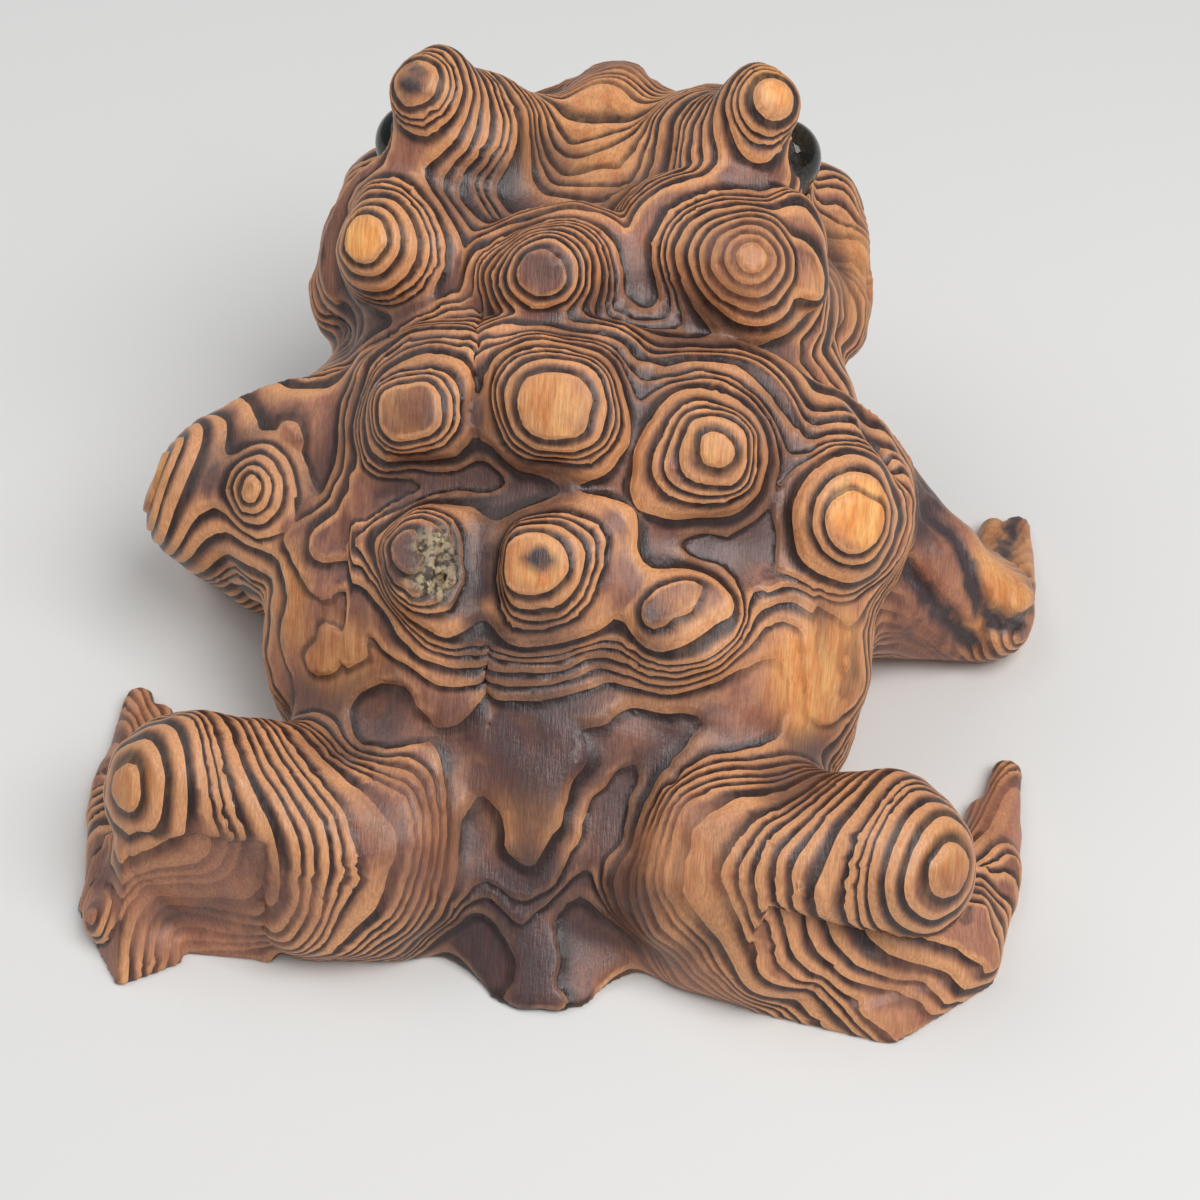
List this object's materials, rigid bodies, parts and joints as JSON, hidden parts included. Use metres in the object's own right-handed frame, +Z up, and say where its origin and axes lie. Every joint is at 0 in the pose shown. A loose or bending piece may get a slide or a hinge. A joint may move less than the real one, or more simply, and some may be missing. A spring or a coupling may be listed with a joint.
{
  "type": "frog figurine",
  "caption": "Squatting toad figurine carved from wood, with growth-ring terraces on its warts, knees and brow horns and glass eyes set in dark pitch; it rests on its flat underside.",
  "frame": {"origin": "on the ground under the middle of the belly, in the flat underside that the figurine rests on", "axes": "+X to the toad's right, +Y forward to the snout, +Z up"},
  "size_m": [0.1006, 0.1021, 0.0568],
  "materials": {
    "carved_wood": "satin wax over brushed grain",
    "eye_pitch": "matte",
    "iris_paint": "satin",
    "pupil_paint": "gloss",
    "eye_glass": "polished"
  },
  "bodies": {
    "root": {"carved_body": "carved_wood", "left_eye_bed": "eye_pitch", "left_eye_iris": "iris_paint", "left_eye_pupil": "pupil_paint", "left_eye_lens": "eye_glass", "right_eye_bed": "eye_pitch", "right_eye_iris": "iris_paint", "right_eye_pupil": "pupil_paint", "right_eye_lens": "eye_glass"}
  },
  "joints": []
}
